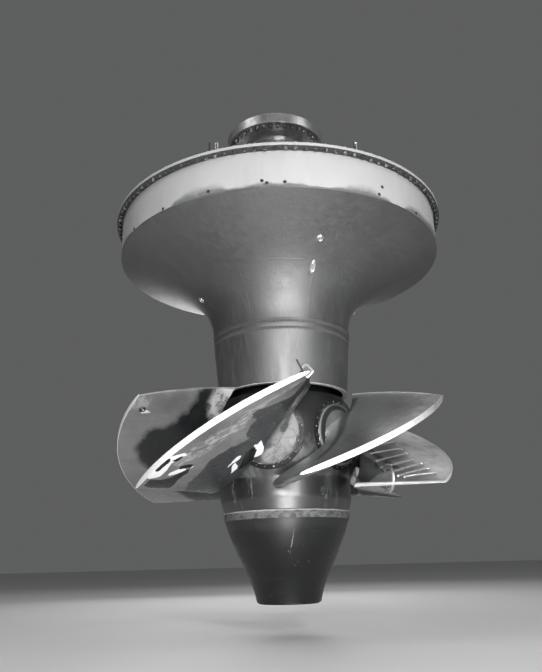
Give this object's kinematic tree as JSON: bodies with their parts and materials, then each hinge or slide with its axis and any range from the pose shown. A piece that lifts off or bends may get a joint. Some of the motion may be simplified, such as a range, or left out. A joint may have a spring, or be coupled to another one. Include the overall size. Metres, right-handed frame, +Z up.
{
  "type": "kaplan turbine runner with shaft and inner head cover",
  "caption": "Large adjustable-blade turbine runner hanging from its coupling shaft, with hub, cone and a flared inner head cover that has a white rim band.",
  "frame": {"origin": "on the turbine axis, in the plane of the seat face under the head cover's rim flange", "axes": "+Z up along the turbine axis, -Y towards the side that the picture shows, +X to its right"},
  "size_m": [8.48, 8.48, 12.18],
  "materials": {
    "white_paint": "white primer, satin, smudged near its lower edge",
    "grey_paint": "dark grey satin paint with soft streaks",
    "dark_paint": "dark semi-gloss coating, worn at the edges",
    "inner_primer": "dull grey primer",
    "machined_steel": "turned steel with a thin film of oil",
    "bare_steel": "rough bare steel with paint runs",
    "blade_steel": "ground steel with a dark coating near the root"
  },
  "bodies": {
    "head_cover": {"cover_rim_flange": "white_paint", "cover_outer_band": "white_paint", "cover_bell": "grey_paint", "cover_neck_ring": "grey_paint", "cover_skirt_flange": "grey_paint", "cover_skirt": "grey_paint", "bearing_support_tube": "inner_primer", "cover_rib_1": "inner_primer", "cover_rib_2": "inner_primer", "cover_rib_3": "inner_primer", "cover_rib_4": "inner_primer", "cover_rib_5": "inner_primer", "cover_rib_6": "inner_primer", "cover_rib_7": "inner_primer", "cover_rib_8": "inner_primer", "cover_rib_9": "inner_primer", "cover_rib_10": "inner_primer", "cover_rib_11": "inner_primer", "cover_rib_12": "inner_primer", "bearing_floor": "inner_primer", "bearing_housing": "inner_primer", "bearing_cover": "machined_steel", "rim_jack_screw_1": "machined_steel", "rim_jack_screw_2": "machined_steel", "rim_jack_screw_3": "machined_steel", "rim_jack_screw_4": "machined_steel"},
    "runner": {"turbine_shaft": "machined_steel", "runner_hub": "dark_paint", "hub_joint_ring": "bare_steel", "runner_cone": "dark_paint", "cone_end_plate": "dark_paint", "blade_seal_ring_1": "dark_paint", "blade_seal_ring_2": "dark_paint", "blade_seal_ring_3": "dark_paint", "blade_seal_ring_4": "dark_paint", "blade_seal_ring_5": "dark_paint", "blade_seal_ring_6": "dark_paint"},
    "blade_body_1": {"blade_1": "blade_steel"},
    "blade_body_2": {"blade_2": "blade_steel"},
    "blade_body_3": {"blade_3": "blade_steel"},
    "blade_body_4": {"blade_4": "blade_steel"},
    "blade_body_5": {"blade_5": "blade_steel"},
    "blade_body_6": {"blade_6": "blade_steel"}
  },
  "joints": [
    {"name": "runner_spin", "type": "hinge", "parent": "head_cover", "child": "runner", "pos_m": [0, 0, -2.6], "axis": [0, 0, 1], "continuous": true},
    {"name": "blade_1_pitch", "type": "hinge", "parent": "runner", "child": "blade_body_1", "pos_m": [0, 0, -5.57], "axis": [-0.2079, -0.9781, 0], "range_deg": [-18, 10]},
    {"name": "blade_2_pitch", "type": "hinge", "parent": "runner", "child": "blade_body_2", "pos_m": [0, 0, -5.57], "axis": [0.7431, -0.6691, 0], "range_deg": [-18, 10]},
    {"name": "blade_3_pitch", "type": "hinge", "parent": "runner", "child": "blade_body_3", "pos_m": [0, 0, -5.57], "axis": [0.9511, 0.309, 0], "range_deg": [-18, 10]},
    {"name": "blade_4_pitch", "type": "hinge", "parent": "runner", "child": "blade_body_4", "pos_m": [0, 0, -5.57], "axis": [0.2079, 0.9781, 0], "range_deg": [-18, 10]},
    {"name": "blade_5_pitch", "type": "hinge", "parent": "runner", "child": "blade_body_5", "pos_m": [0, 0, -5.57], "axis": [-0.7431, 0.6691, 0], "range_deg": [-18, 10]},
    {"name": "blade_6_pitch", "type": "hinge", "parent": "runner", "child": "blade_body_6", "pos_m": [0, 0, -5.57], "axis": [-0.9511, -0.309, 0], "range_deg": [-18, 10]}
  ],
  "couplings": [
    {"joint": "blade_2_pitch", "follows": "blade_1_pitch", "ratio": 1},
    {"joint": "blade_3_pitch", "follows": "blade_1_pitch", "ratio": 1},
    {"joint": "blade_4_pitch", "follows": "blade_1_pitch", "ratio": 1},
    {"joint": "blade_5_pitch", "follows": "blade_1_pitch", "ratio": 1},
    {"joint": "blade_6_pitch", "follows": "blade_1_pitch", "ratio": 1}
  ]
}
